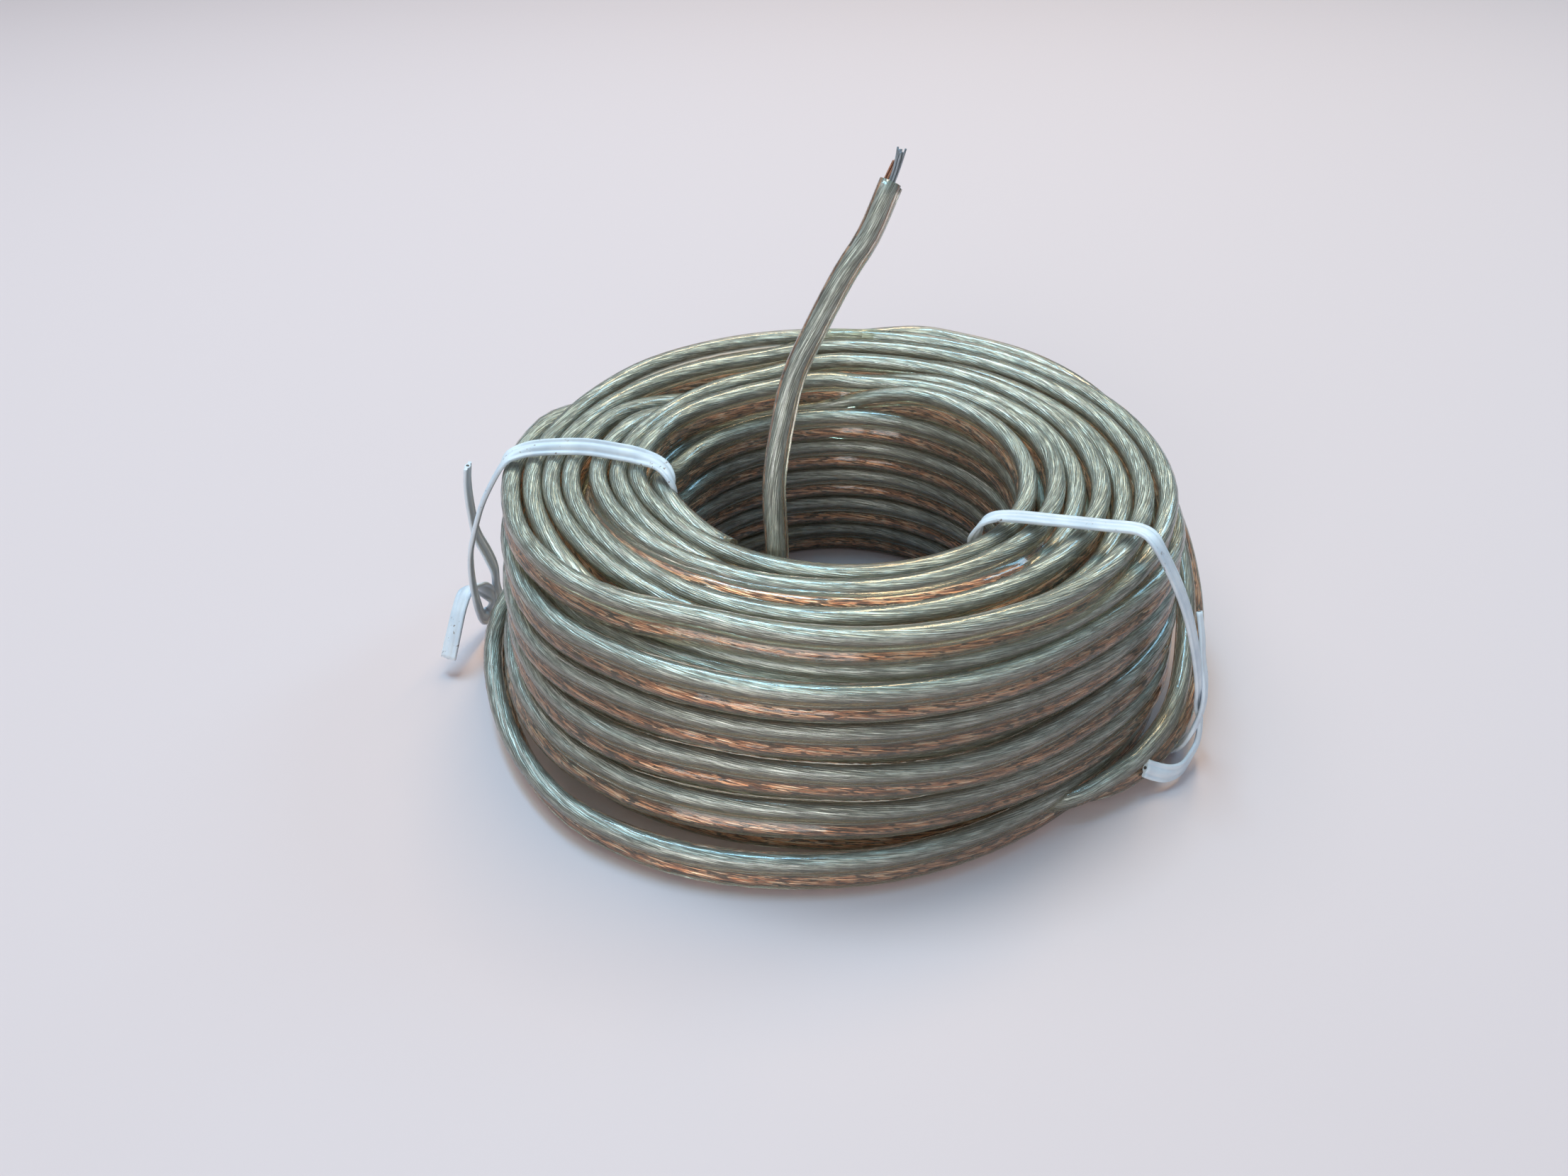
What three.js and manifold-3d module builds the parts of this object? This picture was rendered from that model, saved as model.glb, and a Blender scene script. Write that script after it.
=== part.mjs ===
import * as THREE from 'three';
import { mergeVertices } from 'three/addons/utils/BufferGeometryUtils.js';
import Module from 'manifold-3d';

const wasm = await Module();
wasm.setup();

// Flat twin cable, two round cores side by side, millimetres throughout.
const CABLE_THICKNESS = 2.5;
const CABLE_WIDTH = 5.0;
const CABLE_WAIST = 1.5;
const CONDUCTOR_DIAMETER = 1.04;

// Coil of turns standing on edge: rings side by side, levels on top of each other.
const RING_COUNT = 8;
const LEVEL_COUNT = 6;
const COIL_HOLE_RADIUS = 23.15;
const TURN_SLIMMING = 0.3;
const TURN_LOWERING = 0.6;
const RING_GAP = 0.49;
const LEVEL_GAP = 0.7;
const BASE_TRIM = 0.4;
const STEPS_PER_LOOP = 24;
const LAST_LOOP_STEPS = 6;
const LEAST_TURN_GAP = 0.4;

// Plain body standing for the inner turns.
const CORE_CLEARANCE = 0.35;
const CORE_CHAMFER = 1.2;

// Azimuth of the cut tip on the top inner edge; the winding runs clockwise from it.
const TIP_AZIMUTH = -125.5;
const TIP_BORE_DEPTH = 3.0;
const TIP_CONDUCTOR_SETBACK = 0.35;

// Steps of a loop in which each row of turns moves on by one place.
const TOP_SHIFT = [7, 9];
const OUTER_SHIFT = [9, 11];
const BASE_SHIFT = [11, 13];
const HOLE_SHIFT = [13, 16];
const TOP_SPREAD = [15, 17, 22, 24];

// Lowest outer turn: azimuth, outward bulge and lift.
const LOOSE_TURN = [
  [-55, 0, 0],
  [-68, 0.8, 0],
  [-95, 3.3, 0],
  [-107, 4.8, 0],
  [-117, 5.8, 0],
  [-129, 6.6, 0],
  [-147, 5.9, 0.2],
  [-158, 5.7, 1.0],
  [-168, 6.1, 2.6],
  [-180, 7.0, 4.5],
  [-192, 7.0, 5.0],
  [-205, 6.2, 4.0],
  [-222, 4.0, 2.0],
  [-240, 1.4, 0.4],
  [-252, 0, 0],
];

// Free end of the cable: share of the way from the hole to the outer face, azimuth, height,
// then the direction of its tinned core.
const FREE_END_POINTS = [
  [1.0801, 75.99, 27.3, 0, 0, 1],
  [1.0811, 67.85, 27.3, 0, 0, 1],
  [1.085, 52.16, 27.1, 0, 0, 1],
  [1.1047, 37.29, 26, 0, 0, 1],
  [1.1378, 22.48, 23.4, 0, 0, 1],
  [1.1689, 8.55, 19, 0, 0, 1],
  [1.2016, -4.03, 14, 0, 0, 1],
  [1.216, -15.72, 9.4, 0, 0, 1],
  [1.2172, -26.04, 5.9, 0.1, 0, 1],
  [1.1894, -35.11, 3.3, 0.35, -0.3, 1],
  [1.1196, -43.09, 1.9, 0.6, -0.9, 0.55],
  [0.9814, -49.91, 1.3, 0.2, -1, 0.08],
  [0.7535, -56.72, 1.27, -0.2, -1, 0],
  [0.4691, -64.91, 1.27, -0.4, -1, 0],
  [0.1912, -74.63, 1.27, -0.5, -1, 0],
  [-0.0431, -86.39, 1.4, -0.4, -1, 0],
  [-0.1431, -98.85, 3.1, 0, -1, 0.1],
  [-0.1579, -107.61, 7.4, 0.3, -1, 0.1],
  [-0.1418, -111.22, 13, 0.55, -0.85, 0],
  [-0.1348, -112.27, 20, 0.6, -0.8, 0],
  [-0.141, -112.12, 27.2, 0.5, -0.85, 0],
  [-0.1821, -114.36, 34.7, 0.38, -0.93, 0],
  [-0.2393, -115.15, 38.7, 0.35, -0.94, -0.1],
  [-0.3223, -115.31, 42.8, 0.35, -0.94, -0.2],
  [-0.4314, -114.6, 47.6, 0.35, -0.94, -0.2],
  [-0.5813, -107.85, 52.7, 0.35, -0.94, -0.2],
  [-0.7154, -92.12, 58.1, 0.35, -0.94, -0.2],
  [-0.7777, -70.39, 61.9, 0.35, -0.94, -0.2],
  [-0.8014, -43.07, 67, 0.35, -0.94, -0.2],
];
const FREE_END_SUBSTEPS = 2;
const UNDERPASS_RANGE = [7, 19];
const UNDERPASS_CLEARANCE = 0.3;

// Bared strands at the standing end.
const STRAND_DIAMETER = 0.3;
const STRAND_SPACING = 0.36;
const STRAND_FLARE = 1.9;
const STRANDS_AROUND = 6;
const STRAND_SEAT = 2.4;
const STRAND_CLEARANCE = 0.08;
const TINNED_BARE_LENGTH = 3.6;
const COPPER_BARE_LENGTH = 2.3;

// Wire-cored ties.
const STRIP_WIDTH = 2.4;
const STRIP_EDGE = 0.4;
const STRIP_RIB = 0.84;
const STRIP_RIB_WIDTH = 0.8;
const TIE_WIRE_DIAMETER = 0.44;
const TIE_WIRE_CLEARANCE = 0.14;
const TIE_CLEARANCE = 0.3;
const TIE_FLOOR_GAP = 0.2;
const TWIST_RADIUS = 0.62;
const TWIST_HEIGHT = 4.4;
const TWIST_STEPS = 5;
const TIE_SUBSTEPS = 2;

const WELD = 1e-5;
const turnThickness = CABLE_THICKNESS - TURN_SLIMMING;
const turnHeight = CABLE_WIDTH - TURN_LOWERING;
const ringPitch = turnThickness + RING_GAP;
const levelPitch = turnHeight + LEVEL_GAP;
const innerRing = COIL_HOLE_RADIUS + turnThickness / 2;
const outerRing = innerRing + (RING_COUNT - 1) * ringPitch;
const outerFace = outerRing + turnThickness / 2;
const lowLevel = turnHeight / 2 - BASE_TRIM;
const highLevel = lowLevel + (LEVEL_COUNT - 1) * levelPitch;
const topFace = highLevel + turnHeight / 2;
const stepAngle = 360 / STEPS_PER_LOOP;
const tipStraight = THREE.MathUtils.radToDeg(turnThickness / innerRing);
const startAzimuth = TIP_AZIMUTH - tipStraight;
const coreOffset = CABLE_THICKNESS / 2;

const surface = (color, roughness, metalness) =>
  new THREE.MeshStandardMaterial({ color, roughness, metalness });
const JACKET = surface(0xa9a58f, 0.25, 0.0);
const INNER_TURNS = surface(0x8a8676, 0.35, 0.0);
const TINNED = surface(0xc3c6c6, 0.35, 1.0);
const COPPER = surface(0xb56f4a, 0.4, 1.0);
const TIE_PLASTIC = surface(0xdfe6ec, 0.45, 0.0);
const TIE_STEEL = surface(0x77797c, 0.45, 1.0);

function polar(radius, azimuth, height) {
  const angle = THREE.MathUtils.degToRad(azimuth);
  return new THREE.Vector3(radius * Math.cos(angle), radius * Math.sin(angle), height);
}

function toSolid(geometry) {
  const bare = geometry.clone();
  bare.deleteAttribute('normal');
  bare.deleteAttribute('uv');
  const welded = mergeVertices(bare, WELD);
  const mesh = new wasm.Mesh({
    numProp: 3,
    vertProperties: new Float32Array(welded.attributes.position.array),
    triVerts: new Uint32Array(welded.index.array),
  });
  return new wasm.Manifold(mesh);
}

function toGeometry(solid) {
  const mesh = solid.getMesh();
  const geometry = new THREE.BufferGeometry();
  geometry.setAttribute('position', new THREE.BufferAttribute(mesh.vertProperties, 3));
  geometry.setIndex(new THREE.BufferAttribute(mesh.triVerts, 1));
  return geometry;
}

// Skin through rings of points, each ring running anticlockwise seen along the path.
function loft(rings, section, closed) {
  const sides = section.length;
  const positions = rings.flatMap((ring) => ring.flatMap((point) => point.toArray()));
  const indices = [];
  const spans = closed ? rings.length : rings.length - 1;
  for (let i = 0; i < spans; i += 1) {
    const here = i * sides;
    const next = ((i + 1) % rings.length) * sides;
    for (let j = 0; j < sides; j += 1) {
      const k = (j + 1) % sides;
      indices.push(here + j, here + k, next + k, here + j, next + k, next + j);
    }
  }
  if (!closed) {
    const outline = section.map(([u, v]) => new THREE.Vector2(u, v));
    const end = (rings.length - 1) * sides;
    for (const [a, b, c] of THREE.ShapeUtils.triangulateShape(outline, [])) {
      indices.push(c, b, a);
      indices.push(end + a, end + b, end + c);
    }
  }
  const geometry = new THREE.BufferGeometry();
  geometry.setAttribute('position', new THREE.Float32BufferAttribute(positions, 3));
  geometry.setIndex(indices);
  return geometry;
}

function placeSection(section, centre, across, along) {
  return section.map(([u, v]) =>
    centre.clone().addScaledVector(across, u).addScaledVector(along, v));
}

// Frames along a list of points; each hint is turned square to the path.
function framesAlong(points, hints) {
  return points.map((point, i) => {
    const before = points[Math.max(i - 1, 0)];
    const after = points[Math.min(i + 1, points.length - 1)];
    const tangent = after.clone().sub(before).normalize();
    const side = hints[i].clone();
    side.addScaledVector(tangent, -side.dot(tangent)).normalize();
    const across = side.clone().cross(tangent);
    return { point, tangent, side, across };
  });
}

function sweep(frames, section) {
  const rings = frames.map((frame) =>
    placeSection(section, frame.point, frame.across, frame.side));
  return loft(rings, section, false);
}

function smoothPath(controls, substeps) {
  const curve = new THREE.CatmullRomCurve3(
    controls.map((control) => control.point), false, 'centripetal');
  const spans = controls.length - 1;
  const points = [];
  const hints = [];
  for (let i = 0; i <= spans * substeps; i += 1) {
    const place = i / substeps;
    const low = Math.min(Math.floor(place), spans - 1);
    points.push(curve.getPoint(place / spans));
    hints.push(controls[low].hint.clone().lerp(controls[low + 1].hint, place - low));
  }
  return framesAlong(points, hints);
}

function regularSection(radius, sides) {
  return Array.from({ length: sides }, (_, i) => {
    const angle = (2 * Math.PI * (i + 0.5)) / sides;
    return [radius * Math.cos(angle), radius * Math.sin(angle)];
  });
}

// Straight rod through two points, sized by its circumscribed radius.
function rod(from, to, radius, sides) {
  const tangent = to.clone().sub(from).normalize();
  const hint = Math.abs(tangent.z) < 0.9
    ? new THREE.Vector3(0, 0, 1)
    : new THREE.Vector3(1, 0, 0);
  return sweep(framesAlong([from, to], [hint, hint]), regularSection(radius, sides));
}

// ---- winding -------------------------------------------------------------

const perimeter = [];
for (let level = LEVEL_COUNT - 1; level >= 0; level -= 1) {
  perimeter.push([0, level]);
}
for (let ring = 1; ring < RING_COUNT; ring += 1) {
  perimeter.push([ring, 0]);
}
for (let level = 1; level < LEVEL_COUNT; level += 1) {
  perimeter.push([RING_COUNT - 1, level]);
}
for (let ring = RING_COUNT - 2; ring > 0; ring -= 1) {
  perimeter.push([ring, LEVEL_COUNT - 1]);
}

function ramp(step, [from, to]) {
  return THREE.MathUtils.clamp((step - from) / (to - from), 0, 1);
}

function shiftRange(here, next) {
  if (here[0] === next[0]) {
    return here[0] === 0 ? HOLE_SHIFT : OUTER_SHIFT;
  }
  return here[1] === 0 ? BASE_SHIFT : TOP_SHIFT;
}

// The top row closes up towards the hole where the innermost turn has gone down.
function topSpread(step) {
  const [rise, full, hold, fall] = TOP_SPREAD;
  return ramp(step, [rise, full]) * (1 - ramp(step, [hold, fall]));
}

function looseTurn(azimuth) {
  const turned = azimuth > LOOSE_TURN[0][0] ? azimuth - 360 : azimuth;
  for (let i = 1; i < LOOSE_TURN.length; i += 1) {
    const [from, bulgeFrom, liftFrom] = LOOSE_TURN[i - 1];
    const [to, bulgeTo, liftTo] = LOOSE_TURN[i];
    if (turned <= from && turned >= to) {
      const share = (turned - from) / (to - from);
      return [
        THREE.MathUtils.lerp(bulgeFrom, bulgeTo, share),
        THREE.MathUtils.lerp(liftFrom, liftTo, share),
      ];
    }
  }
  return [0, 0];
}

function turnPlace(count) {
  const loop = Math.floor(count / STEPS_PER_LOOP);
  const step = count % STEPS_PER_LOOP;
  const azimuth = ((startAzimuth - step * stepAngle + 540) % 360) - 180;
  const here = perimeter[loop];
  const next = perimeter[(loop + 1) % perimeter.length];
  const share = ramp(step, shiftRange(here, next));
  const ring = THREE.MathUtils.lerp(here[0], next[0], share);
  const level = THREE.MathUtils.lerp(here[1], next[1], share);
  let radius = innerRing + ring * ringPitch;
  let height = lowLevel + level * levelPitch;
  const onTop = level === LEVEL_COUNT - 1 && ring > 0;
  if (onTop) {
    const reach = (RING_COUNT - 1 - ring) / (RING_COUNT - 2);
    radius -= reach * topSpread(step) * ringPitch;
  }
  if (level === 0 && ring === RING_COUNT - 1) {
    const [bulge, lift] = looseTurn(azimuth);
    radius += bulge;
    height += lift;
  }
  return { radius, azimuth, height };
}

const turnSection = [
  [turnThickness / 2, turnHeight / 4],
  [0, turnHeight / 2],
  [-turnThickness / 2, turnHeight / 4],
  [-turnThickness / 2, -turnHeight / 4],
  [0, -turnHeight / 2],
  [turnThickness / 2, -turnHeight / 4],
];

function windingRings() {
  const rings = [];
  const total = (perimeter.length - 1) * STEPS_PER_LOOP + LAST_LOOP_STEPS;
  const up = new THREE.Vector3(0, 0, 1);
  for (let count = 0; count <= total; count += 1) {
    const { radius, azimuth, height } = turnPlace(count);
    const outward = polar(1, azimuth, 0);
    rings.push(placeSection(turnSection, polar(radius, azimuth, height), outward, up));
  }
  return rings;
}

// Each end runs straight on, square to its own face, for one thickness of the turn.
function straightEnd(ring, centre, direction) {
  const run = direction.clone().multiplyScalar(turnThickness);
  return { ring: ring.map((point) => point.clone().add(run)), face: centre.clone().add(run) };
}

function pointToEdge(point, from, to) {
  return new THREE.Line3(from, to)
    .closestPointToPoint(point, true, new THREE.Vector3())
    .distanceTo(point);
}

function ringDistance(one, other) {
  let least = Infinity;
  for (const point of one) {
    for (let i = 0; i < other.length; i += 1) {
      const edge = pointToEdge(point, other[i], other[(i + 1) % other.length]);
      least = Math.min(least, edge);
    }
  }
  return least;
}

function midRings(rings) {
  return rings.slice(1).map((ring, i) =>
    ring.map((point, j) => point.clone().lerp(rings[i][j], 0.5)));
}

function leastGap(rings) {
  let least = Infinity;
  for (const set of [rings, midRings(rings)]) {
    for (let i = 0; i < set.length; i += 1) {
      for (let j = i + STEPS_PER_LOOP; j < set.length; j += STEPS_PER_LOOP) {
        least = Math.min(least, ringDistance(set[i], set[j]), ringDistance(set[j], set[i]));
      }
    }
  }
  return least;
}

const turnRings = windingRings();
const tipPlace = turnPlace(0);
const tipCentre = polar(tipPlace.radius, tipPlace.azimuth, tipPlace.height);
const tipDirection = polar(1, tipPlace.azimuth + 90, 0);
const tip = straightEnd(turnRings[0], tipCentre, tipDirection);
const lastPlace = turnPlace(turnRings.length - 1);
const lastCentre = polar(lastPlace.radius, lastPlace.azimuth, lastPlace.height);
const lastDirection = polar(1, lastPlace.azimuth - 90, 0);
const last = straightEnd(turnRings[turnRings.length - 1], lastCentre, lastDirection);
const turnGap = leastGap([tip.ring, ...turnRings, last.ring]);
console.log(`winding: least gap between turns ${turnGap.toFixed(3)} mm`);
console.log(`winding: gap wanted over ${LEAST_TURN_GAP} mm`);

// ---- free end -------------------------------------------------------------

const lobe = CABLE_WIDTH / 2 - CABLE_THICKNESS / 2;
const lobeX = (CABLE_THICKNESS / 2) * Math.cos(Math.PI / 3);
const lobeY = lobe + (CABLE_THICKNESS / 2) * Math.sin(Math.PI / 3);
const freeSection = [
  [CABLE_THICKNESS / 2, lobe],
  [lobeX, lobeY],
  [-lobeX, lobeY],
  [-CABLE_THICKNESS / 2, lobe],
  [-CABLE_WAIST / 2, 0],
  [-CABLE_THICKNESS / 2, -lobe],
  [-lobeX, -lobeY],
  [lobeX, -lobeY],
  [CABLE_THICKNESS / 2, -lobe],
  [CABLE_WAIST / 2, 0],
];
const coilWall = outerFace - COIL_HOLE_RADIUS;
const freeControls = FREE_END_POINTS.map(([share, azimuth, z, wx, wy, wz]) => ({
  point: polar(COIL_HOLE_RADIUS + share * coilWall, azimuth, z),
  hint: new THREE.Vector3(wx, wy, wz).normalize(),
}));
const freeFrames = smoothPath(freeControls, FREE_END_SUBSTEPS);
const endFrame = freeFrames[freeFrames.length - 1];

function underpassCutter() {
  const half = CABLE_THICKNESS / 2 + UNDERPASS_CLEARANCE;
  const wide = CABLE_WIDTH / 2 + UNDERPASS_CLEARANCE;
  const section = [[half, wide], [-half, wide], [-half, -wide], [half, -wide]];
  const [from, to] = UNDERPASS_RANGE.map((index) => index * FREE_END_SUBSTEPS);
  return toSolid(sweep(freeFrames.slice(from, to), section));
}

function halfSpaceBelow(size) {
  const block = new THREE.BoxGeometry(size, size, size);
  block.translate(0, 0, -size / 2);
  return toSolid(block);
}

const bundleRadius = STRAND_SPACING + STRAND_DIAMETER / 2;
const strandBore = (bundleRadius + STRAND_CLEARANCE) / Math.cos(Math.PI / 12);

function conductorAxis(side) {
  const base = endFrame.point.clone().addScaledVector(endFrame.side, side * coreOffset);
  return (distance) => base.clone().addScaledVector(endFrame.tangent, distance);
}

function buildFreeEnd(floorBlock) {
  let body = toSolid(sweep(freeFrames, freeSection)).subtract(floorBlock);
  for (const side of [1, -1]) {
    const at = conductorAxis(side);
    const depth = STRAND_SEAT + STRAND_CLEARANCE;
    body = body.subtract(toSolid(rod(at(-depth), at(1), strandBore, 12)));
  }
  return toGeometry(body);
}

// Centre strand and a ring of strands that open out towards their cut ends.
function buildStrands(side, bareLength) {
  const at = conductorAxis(side);
  const stations = [-STRAND_SEAT, 0, bareLength / 2, bareLength];
  const places = [[0, 0]];
  for (let i = 0; i < STRANDS_AROUND; i += 1) {
    places.push([1, (2 * Math.PI * i) / STRANDS_AROUND]);
  }
  const section = regularSection(STRAND_DIAMETER / 2, 6);
  return places.map(([reach, turn]) => {
    const points = stations.map((distance) => {
      const open = Math.max(distance, 0) / bareLength;
      const spread = reach * STRAND_SPACING * (1 + (STRAND_FLARE - 1) * open ** 2);
      return at(distance)
        .addScaledVector(endFrame.side, spread * Math.cos(turn))
        .addScaledVector(endFrame.across, spread * Math.sin(turn));
    });
    return sweep(framesAlong(points, points.map(() => endFrame.side)), section);
  });
}

// ---- cut tip ----------------------------------------------------------------

const tipBore = (CONDUCTOR_DIAMETER / 2 + STRAND_CLEARANCE) / Math.cos(Math.PI / 12);
const tipOffset = turnHeight / 4;

function tipAxis(side) {
  const base = tip.face.clone();
  base.z += side * tipOffset;
  return (distance) => base.clone().addScaledVector(tipDirection, distance);
}

function buildTipConductor(side) {
  const at = tipAxis(side);
  const from = at(-TIP_BORE_DEPTH + STRAND_CLEARANCE);
  return rod(from, at(-TIP_CONDUCTOR_SETBACK), CONDUCTOR_DIAMETER / 2, 12);
}

// ---- ties --------------------------------------------------------------------

const tieRest = STRIP_RIB / 2 + TIE_CLEARANCE;
const tieLow = STRIP_RIB / 2 + TIE_FLOOR_GAP;
const tieTop = topFace + tieRest;
const tieHole = COIL_HOLE_RADIUS - tieRest;
const tieOut = outerFace + tieRest;
const stripSection = [
  [STRIP_WIDTH / 2, STRIP_EDGE / 2],
  [STRIP_RIB_WIDTH / 2, STRIP_RIB / 2],
  [-STRIP_RIB_WIDTH / 2, STRIP_RIB / 2],
  [-STRIP_WIDTH / 2, STRIP_EDGE / 2],
  [-STRIP_WIDTH / 2, -STRIP_EDGE / 2],
  [-STRIP_RIB_WIDTH / 2, -STRIP_RIB / 2],
  [STRIP_RIB_WIDTH / 2, -STRIP_RIB / 2],
  [STRIP_WIDTH / 2, -STRIP_EDGE / 2],
];

// Radius, azimuth and height of a centre point, then its flat's normal: outward, up.
function tieControl([radius, azimuth, height, outward, upward]) {
  const hint = polar(outward, azimuth, upward).normalize();
  return { point: polar(radius, azimuth, height), hint };
}

// One strand of the twist, climbing about a vertical axis from a starting turn.
function twistControls(tie, phase) {
  const centre = polar(tie.twistRadius, tie.twistAzimuth, 0);
  const controls = [];
  for (let i = 0; i <= TWIST_STEPS; i += 1) {
    const share = i / TWIST_STEPS;
    const angle = tie.twistAzimuth + phase + 360 * share;
    const hint = polar(1, angle, 0);
    const height = tie.twistBase + share * TWIST_HEIGHT;
    const point = centre.clone().addScaledVector(hint, TWIST_RADIUS).setZ(height);
    controls.push({ point, hint });
  }
  return controls;
}

// Straight run beneath the turns, from the outer side to the hole.
function underControls(tie) {
  const [from, to] = [tie.underOuter, tie.underInner].map(([radius, azimuth]) =>
    polar(radius, azimuth, tieLow));
  return [0, 0.5, 1].map((share) => ({
    point: from.clone().lerp(to, share),
    hint: new THREE.Vector3(0, 0, -1),
  }));
}

function tieFrames(tie) {
  const innerStrand = twistControls(tie, 180).reverse();
  return smoothPath([
    ...tie.firstTail.map(tieControl),
    ...innerStrand.map(({ point, hint }) => ({ point, hint: hint.clone().negate() })),
    tieControl(tie.foot),
    ...underControls(tie),
    ...tie.hole.map(tieControl),
    ...tie.over.map(tieControl),
    ...tie.outside.map(tieControl),
    ...twistControls(tie, 0),
    ...tie.secondTail.map(tieControl),
  ], TIE_SUBSTEPS);
}

function buildTie(tie) {
  const frames = tieFrames(tie);
  const boreRadius = TIE_WIRE_DIAMETER / 2 + TIE_WIRE_CLEARANCE;
  const long = frames.map((frame) => ({ ...frame }));
  long[0].point = long[0].point.clone().addScaledVector(long[0].tangent, -1);
  const end = long.length - 1;
  long[end].point = long[end].point.clone().addScaledVector(long[end].tangent, 1);
  const bore = toSolid(sweep(long, regularSection(boreRadius, 4)));
  const strip = toGeometry(toSolid(sweep(frames, stripSection)).subtract(bore));
  const wire = sweep(frames, regularSection(TIE_WIRE_DIAMETER / 2, 4));
  return { strip, wire };
}

// Clearance round the strip where it passes beneath the turns and up into the hole.
function tieCutter(tie) {
  const start = tie.firstTail.length + TWIST_STEPS + 1;
  const end = start + 1 + 3 + tie.hole.length;
  const frames = tieFrames(tie).slice(start * TIE_SUBSTEPS, end * TIE_SUBSTEPS);
  const wide = STRIP_WIDTH / 2 + TIE_CLEARANCE;
  const thick = STRIP_RIB / 2 + TIE_CLEARANCE;
  const section = [[wide, thick], [-wide, thick], [-wide, -thick], [wide, -thick]];
  const run = underControls(tie);
  const past = run[2].point.clone().addScaledVector(
    run[2].point.clone().sub(run[0].point).normalize(), STRIP_WIDTH);
  const straight = framesAlong([run[0].point, past], [run[0].hint, run[2].hint]);
  return toSolid(sweep(frames, section)).add(toSolid(sweep(straight, section)));
}

const leftTie = {
  twistRadius: outerFace + 10.1,
  twistAzimuth: 176,
  twistBase: 3.7,
  firstTail: [
    [outerFace + 7.6, 178.5, 26.5, 1, 0],
    [outerFace + 8.0, 178, 20.0, 1, 0],
    [outerFace + 8.6, 177, 13.0, 1, 0.1],
  ],
  foot: [outerFace + 7.2, 176.6, 0.9, 0.4, -1],
  underOuter: [outerFace + 4.0, 177.5],
  underInner: [COIL_HOLE_RADIUS + 1.2, 193],
  hole: [
    [tieHole + 0.1, 194.5, tieLow + 0.7, -1, -0.6],
    [tieHole - 0.1, 195, 3.5, -1, 0],
    [tieHole, 196.5, topFace - 3.0, -1, 0],
  ],
  over: [
    [tieHole + 0.3, 196.5, tieTop - 0.7, -1, 1],
    [COIL_HOLE_RADIUS + 2.0, 190, tieTop, 0, 1],
    [COIL_HOLE_RADIUS + 7.0, 182, tieTop, 0, 1],
    [outerFace - 6.0, 180.5, tieTop, 0, 1],
    [outerFace - 1.0, 183, tieTop, 0.1, 1],
  ],
  outside: [
    [tieOut + 0.5, 185.5, topFace - 1.5, 1, 0.6],
    [tieOut + 3.2, 186, topFace - 6.5, 1, 0.4],
    [tieOut + 5.9, 186, topFace - 12.5, 1, 0.2],
    [tieOut + 7.3, 185, 10.0, 1, 0],
    [tieOut + 7.8, 183, 4.6, 1, -0.1],
    [tieOut + 9.0, 179.0, 1.9, 1, -0.2],
  ],
  secondTail: [
    [outerFace + 11.4, 179.5, 9.4, 1, 0.4],
    [outerFace + 11.0, 184.0, 8.8, 1, 0.6],
    [outerFace + 11.0, 187.5, 6.2, 1, 0.3],
    [outerFace + 11.6, 190.5, 2.6, 1, 0.1],
  ],
};
const rightTie = {
  twistRadius: outerFace + 8.4,
  twistAzimuth: -27,
  twistBase: 3.0,
  firstTail: [
    [outerFace + 4.4, -22, 20.4, 1, 0.2],
    [outerFace + 5.6, -23, 15.5, 1, 0.2],
    [outerFace + 7.2, -25, 10.8, 1, 0.2],
  ],
  foot: [outerFace + 5.6, -26.8, 0.9, 0.4, -1],
  underOuter: [outerFace + 2.6, -27],
  underInner: [COIL_HOLE_RADIUS + 1.2, -36],
  hole: [
    [tieHole + 0.1, -37, tieLow + 0.7, -1, -0.6],
    [tieHole - 0.1, -37.5, 3.5, -1, 0],
    [tieHole, -41, topFace - 3.0, -1, 0],
  ],
  over: [
    [tieHole + 0.3, -41, tieTop - 0.7, -1, 1],
    [COIL_HOLE_RADIUS + 2.0, -37, tieTop, 0, 1],
    [COIL_HOLE_RADIUS + 7.6, -31, tieTop, 0, 1],
    [outerFace - 6.0, -27, tieTop, 0, 1],
    [outerFace - 1.5, -26.5, tieTop, 0.1, 1],
  ],
  outside: [
    [tieOut + 0.4, -28.5, topFace - 1.3, 1, 0.8],
    [tieOut + 2.4, -28.5, topFace - 6.5, 1, 0.4],
    [tieOut + 4.6, -28.8, topFace - 14.0, 1, 0.3],
    [tieOut + 6.4, -29.8, 9.6, 1, 0.1],
    [tieOut + 7.0, -31.5, 4.8, 1, 0],
    [tieOut + 7.8, -29.7, 2.1, 1, -0.2],
  ],
  secondTail: [
    [outerFace + 9.8, -28.8, 9.2, 1, 0.5],
    [outerFace + 9.8, -31.5, 8.6, 1, 0.7],
    [outerFace + 9.0, -34.5, 5.8, 1, 0.4],
    [outerFace + 6.8, -37.2, 3.6, 1, 0.2],
  ],
};

// ---- bodies --------------------------------------------------------------------

function buildWinding(floorBlock) {
  const rings = [tip.ring, ...turnRings, last.ring];
  let body = toSolid(loft(rings, turnSection, false)).subtract(floorBlock);
  body = body.subtract(tieCutter(leftTie));
  body = body.subtract(tieCutter(rightTie));
  body = body.subtract(underpassCutter());
  for (const side of [1, -1]) {
    const at = tipAxis(side);
    body = body.subtract(toSolid(rod(at(-TIP_BORE_DEPTH), at(1), tipBore, 12)));
  }
  return toGeometry(body);
}

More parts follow.
